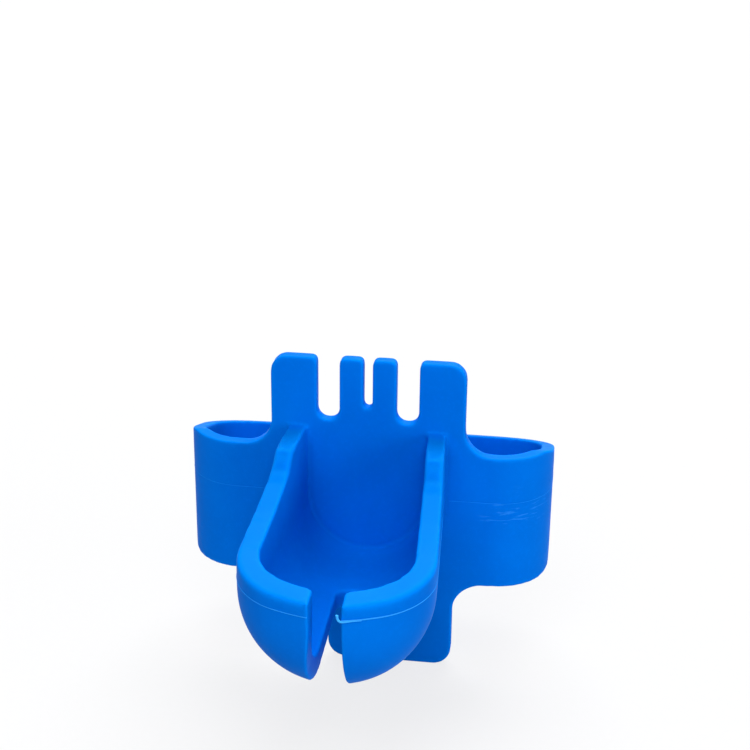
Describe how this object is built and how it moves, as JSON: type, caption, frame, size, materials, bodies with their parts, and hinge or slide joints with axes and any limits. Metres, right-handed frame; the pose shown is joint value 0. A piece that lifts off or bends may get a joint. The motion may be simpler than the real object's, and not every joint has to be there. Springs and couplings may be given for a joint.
{
  "type": "balloon knotting tool",
  "caption": "Finger-worn tool for knotting balloons: a slit, round-nosed trough on a plate with a slotted comb and a thumb tab, held on by a springy open band.",
  "frame": {"origin": "middle of the plate's back face, which lies on the fingers, at the height of the parting line", "axes": "+X to the right seen from the front, +Y from the plate towards the backs of the fingers, +Z along the fingers to their tips"},
  "size_m": [0.0588, 0.0635, 0.0526],
  "materials": {
    "moulding": "satin-gloss blue polyolefin, slightly translucent"
  },
  "bodies": {
    "body": {"plate": "moulding", "outer_tooth_left": "moulding", "inner_tooth_left": "moulding", "inner_tooth_right": "moulding", "outer_tooth_right": "moulding", "lower_tab": "moulding", "band_front_left": "moulding", "band_front_right": "moulding", "trough_side_left": "moulding", "trough_side_right": "moulding", "nose_rim_left": "moulding", "nose_rim_right": "moulding", "channel_floor": "moulding", "keel_left": "moulding", "keel_right": "moulding", "nose_lobe_left": "moulding", "nose_lobe_right": "moulding"},
    "left_arm": {"band_bend_left": "moulding", "band_arm_left": "moulding"},
    "right_arm": {"band_bend_right": "moulding", "band_arm_right": "moulding"}
  },
  "joints": [
    {"name": "left_arm_flex", "type": "hinge", "parent": "body", "child": "left_arm", "pos_m": [-0.0209, -0.0022, 0], "axis": [0, 0, 1], "range_deg": [0, 12], "stiffness_Nm_per_rad": 0.8},
    {"name": "right_arm_flex", "type": "hinge", "parent": "body", "child": "right_arm", "pos_m": [0.0199, -0.0022, 0], "axis": [0, 0, -1], "range_deg": [0, 12], "stiffness_Nm_per_rad": 0.8}
  ]
}
